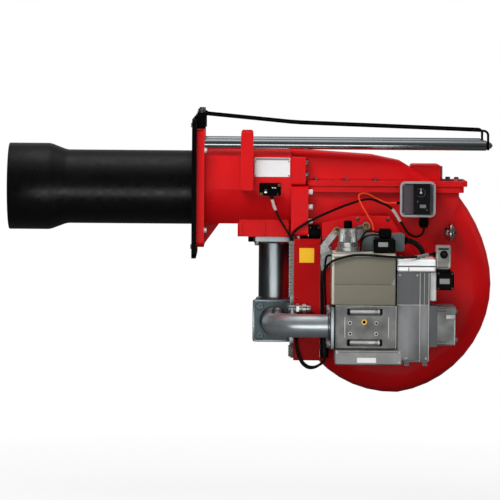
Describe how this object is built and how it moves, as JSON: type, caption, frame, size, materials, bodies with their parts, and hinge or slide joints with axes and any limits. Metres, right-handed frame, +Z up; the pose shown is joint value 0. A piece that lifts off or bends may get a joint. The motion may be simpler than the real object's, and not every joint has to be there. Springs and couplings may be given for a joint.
{
  "type": "industrial gas burner",
  "caption": "Gas burner that draws back from the boiler on two slide bars, with a scroll fan, a servo driven air damper and a gas valve train.",
  "frame": {"origin": "on the blast tube's axis, at the face of the mounting plate that bolts to the boiler", "axes": "+X along the blast tube away from the boiler, +Z up, -Y towards the gas valve train"},
  "size_m": [1.178, 0.5871, 0.6911],
  "materials": {
    "red_paint": "gloss enamel on cast and sheet metal",
    "black_paint": "satin black paint",
    "tube_black": "matte black heat-resistant finish",
    "zinc": "zinc plated steel",
    "polished_steel": "ground and plated steel",
    "cast_aluminium": "as-cast and machined aluminium",
    "bare_steel": "bare steel",
    "beige_paint": "beige grey paint",
    "grey_metal": "grey die-cast aluminium",
    "grey_plastic": "moulded plastic",
    "box_grey": "moulded plastic",
    "black_plastic": "moulded plastic",
    "clear_plastic": "clear moulded plastic",
    "dial_grey": "moulded plastic",
    "orange_tube": "flexible plastic tube",
    "ceramic": "glazed ceramic insulator"
  },
  "bodies": {
    "boiler_side": {"mounting_plate": "black_paint", "blast_tube": "tube_black", "slide_bar_near": "polished_steel", "slide_bar_far": "polished_steel", "tie_rod_near": "black_paint", "tie_rod_far": "black_paint"},
    "burner_body": {"head_housing": "red_paint", "flame_sensor": "black_plastic", "fan_housing": "red_paint", "top_cover": "red_paint", "cover_bracket": "zinc", "intake_box": "red_paint", "motor_plate": "red_paint", "motor_body": "cast_aluminium", "motor_cowl": "black_paint", "motor_terminal_box": "grey_metal", "servo_bracket": "zinc", "servo_motor": "black_plastic", "servo_cover": "red_paint", "terminal_comb": "grey_plastic", "cover_gland": "grey_plastic", "gas_riser": "zinc", "gas_elbow_block": "cast_aluminium", "gas_elbow": "zinc", "test_nipple": "polished_steel", "valve_body": "cast_aluminium", "valve_base": "cast_aluminium", "coil_housing": "beige_paint", "brake_base": "zinc", "wiring_box": "box_grey", "gas_switch_low": "black_plastic", "wiring_plug": "black_plastic", "regulator_body": "grey_metal", "regulator_bar": "grey_metal", "inlet_flange": "cast_aluminium", "switch_bracket": "bare_steel", "gas_switch_high": "black_plastic", "din_plug": "grey_plastic", "air_switch_body": "black_plastic", "air_switch_cover": "clear_plastic", "eye_bolt": "polished_steel", "gas_nozzle": "bare_steel", "diffuser_disc": "bare_steel", "ignition_electrode": "ceramic", "sensor_cable": "black_plastic", "air_switch_cable": "black_plastic", "pressure_tube": "orange_tube", "din_cable": "black_plastic", "coil_cable": "black_plastic", "loop_cable": "black_plastic", "conduit": "black_plastic", "cable_sleeve": "black_plastic"},
    "rotor": {"fan_impeller": "zinc", "motor_shaft": "bare_steel"},
    "cam": {"servo_cam": "zinc"},
    "link": {"link_rod": "bare_steel"},
    "damper": {"air_damper": "zinc"},
    "knob": {"flow_knob": "zinc", "knob_cap": "black_plastic"},
    "dial": {"air_switch_dial": "dial_grey"}
  },
  "joints": [
    {"name": "body_slide", "type": "slide", "parent": "boiler_side", "child": "burner_body", "axis": [1, 0, 0], "range_m": [0, 0.46]},
    {"name": "fan_spin", "type": "hinge", "parent": "burner_body", "child": "rotor", "pos_m": [0.46, 0, -0.231], "axis": [0, 1, 0], "continuous": true},
    {"name": "servo_turn", "type": "hinge", "parent": "burner_body", "child": "cam", "pos_m": [0.3, -0.1276, -0.16], "axis": [0, 1, 0], "range_deg": [0, 90]},
    {"name": "link_swing", "type": "hinge", "parent": "cam", "child": "link", "pos_m": [0.35, -0.1404, -0.097], "axis": [0, 1, 0], "range_deg": [-90, 0]},
    {"name": "damper_turn", "type": "hinge", "parent": "burner_body", "child": "damper", "pos_m": [0.371, -0.1, -0.148], "axis": [0, 1, 0], "range_deg": [0, 90]},
    {"name": "flow_knob_turn", "type": "hinge", "parent": "burner_body", "child": "knob", "pos_m": [0.375, -0.2165, -0.103], "axis": [0, 0, 1], "range_deg": [-270, 270]},
    {"name": "air_switch_dial_turn", "type": "hinge", "parent": "burner_body", "child": "dial", "pos_m": [0.551, -0.159, -0.003], "axis": [0, 1, 0], "range_deg": [-150, 150]}
  ],
  "couplings": [
    {"joint": "link_swing", "follows": "servo_turn", "ratio": -1},
    {"joint": "damper_turn", "follows": "servo_turn", "ratio": 1}
  ]
}
